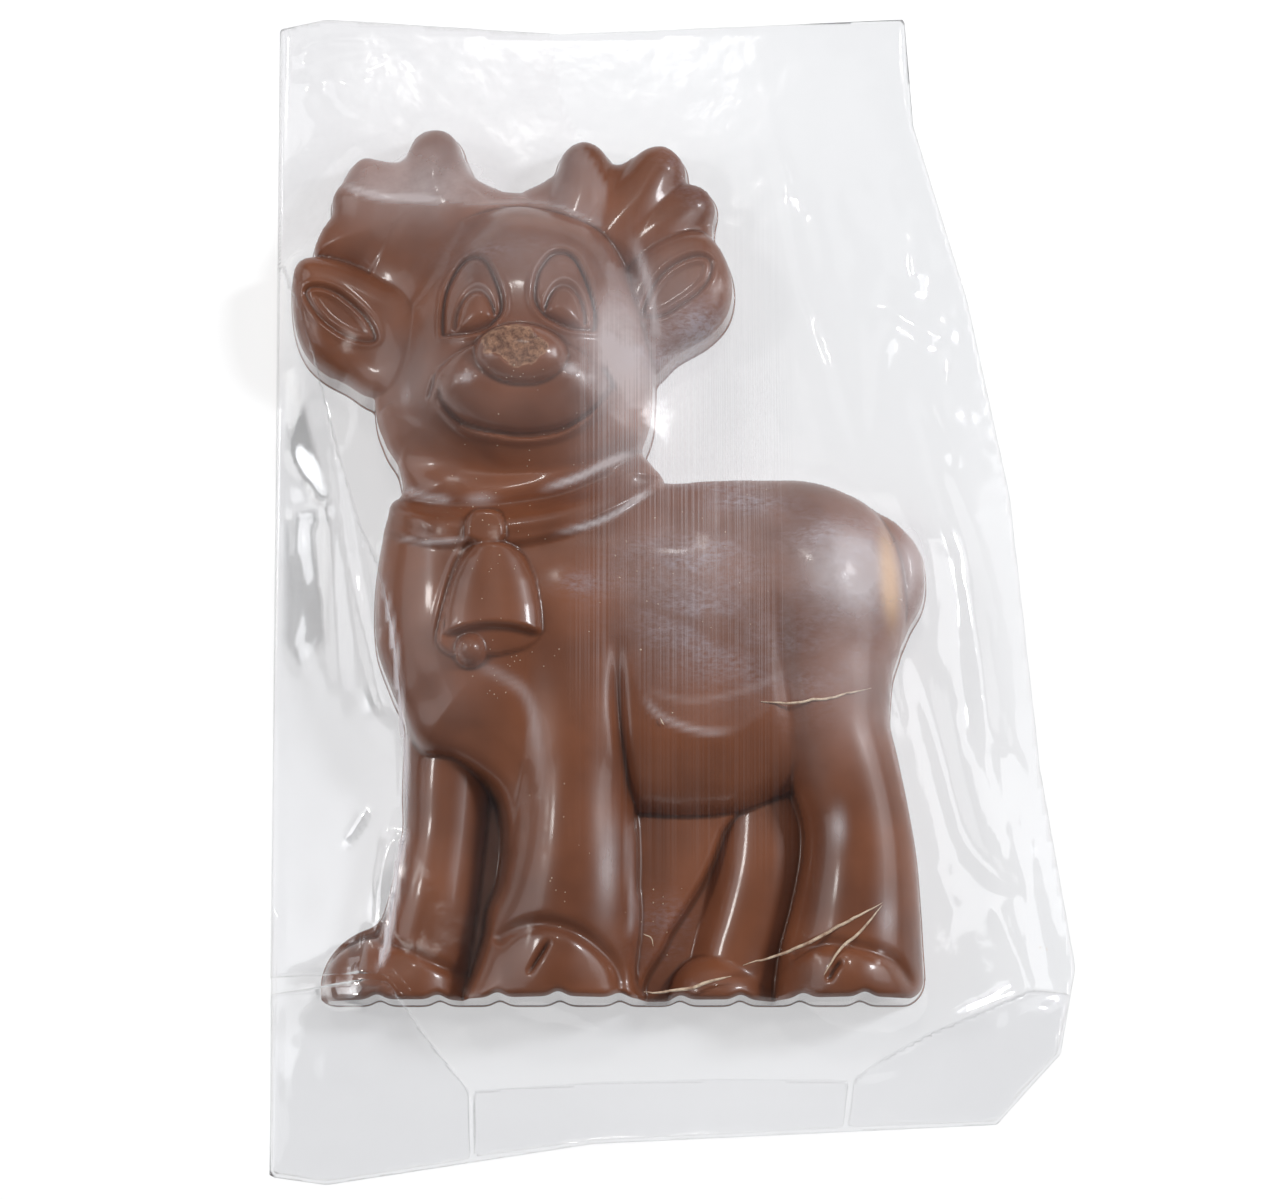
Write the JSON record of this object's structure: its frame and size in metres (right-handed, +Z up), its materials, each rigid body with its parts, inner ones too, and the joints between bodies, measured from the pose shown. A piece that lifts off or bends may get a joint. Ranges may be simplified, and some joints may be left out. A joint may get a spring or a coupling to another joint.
{
  "type": "chocolate reindeer in a clear bag",
  "caption": "Flat-backed moulded milk-chocolate reindeer with antlers, collar and bell, lying on its back in a clear cellophane bag.",
  "frame": {"origin": "centre of the bag's footprint, on the table that the bag lies on", "axes": "+X across the figure from its chest to its rump, +Y from the hooves to the antlers, +Z up from the flat back to the relief"},
  "size_m": [0.15, 0.222, 0.0358],
  "materials": {
    "milk_chocolate": "moulded milk chocolate with a soft sheen, a little bloom and a few scratches",
    "clear_film": "thin clear cellophane, glossy and creased"
  },
  "bodies": {
    "root": {"reindeer": "milk_chocolate", "bag": "clear_film"}
  },
  "joints": []
}
